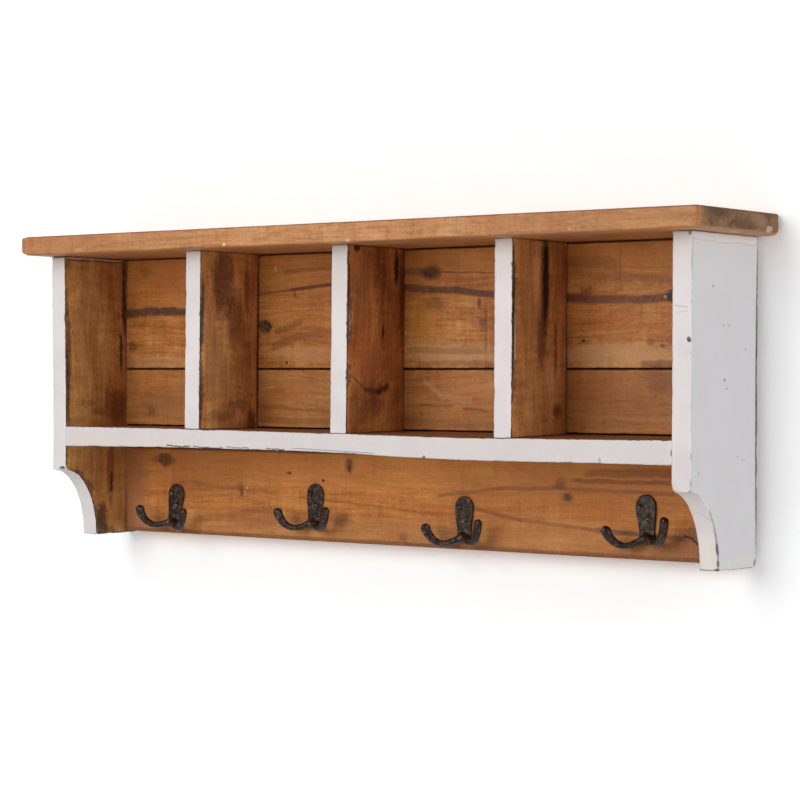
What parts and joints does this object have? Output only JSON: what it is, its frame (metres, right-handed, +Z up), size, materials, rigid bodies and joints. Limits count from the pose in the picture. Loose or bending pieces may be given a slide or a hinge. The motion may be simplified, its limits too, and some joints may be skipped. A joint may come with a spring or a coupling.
{
  "type": "wall coat rack",
  "caption": "Rustic wooden wall rack: a shelf over open cubbies with cast coat hooks on a rail below, natural wood with worn white paint on the sides and front edges.",
  "frame": {"origin": "midway between the entry holes of the two keyhole hangers, on the wall plane", "axes": "+X to the right seen from the front, +Y into the wall, +Z up"},
  "size_m": [1.005, 0.166, 0.383],
  "materials": {
    "natural_wood": "waxed reclaimed hardwood with knots and dark streaks",
    "painted_wood": "off-white paint, chipped along the edges",
    "dowel_wood": "plain beech",
    "cast_iron": "dark brown cast iron, rough and satin",
    "dark_steel": "blackened steel, worn bright on the high spots",
    "zinc_steel": "dull zinc plate"
  },
  "bodies": {
    "root": {"left_divider": "natural_wood", "centre_divider": "natural_wood", "right_divider": "natural_wood", "cubby_floor": "natural_wood", "lower_back_plank": "natural_wood", "upper_back_plank": "natural_wood", "hook_rail": "natural_wood", "top_board": "natural_wood", "left_side_panel": "painted_wood", "right_side_panel": "painted_wood", "coat_hook_1": "cast_iron", "coat_hook_2": "cast_iron", "coat_hook_3": "cast_iron", "coat_hook_4": "cast_iron", "top_dowels": "dowel_wood", "divider_dowels": "dowel_wood", "floor_dowels": "dowel_wood", "rail_dowels": "dowel_wood", "plank_dowels": "dowel_wood", "hanger_plate_left": "zinc_steel", "hanger_plate_right": "zinc_steel", "plank_nails": "zinc_steel", "hanger_screws": "zinc_steel", "hook_screws": "dark_steel"}
  },
  "joints": []
}
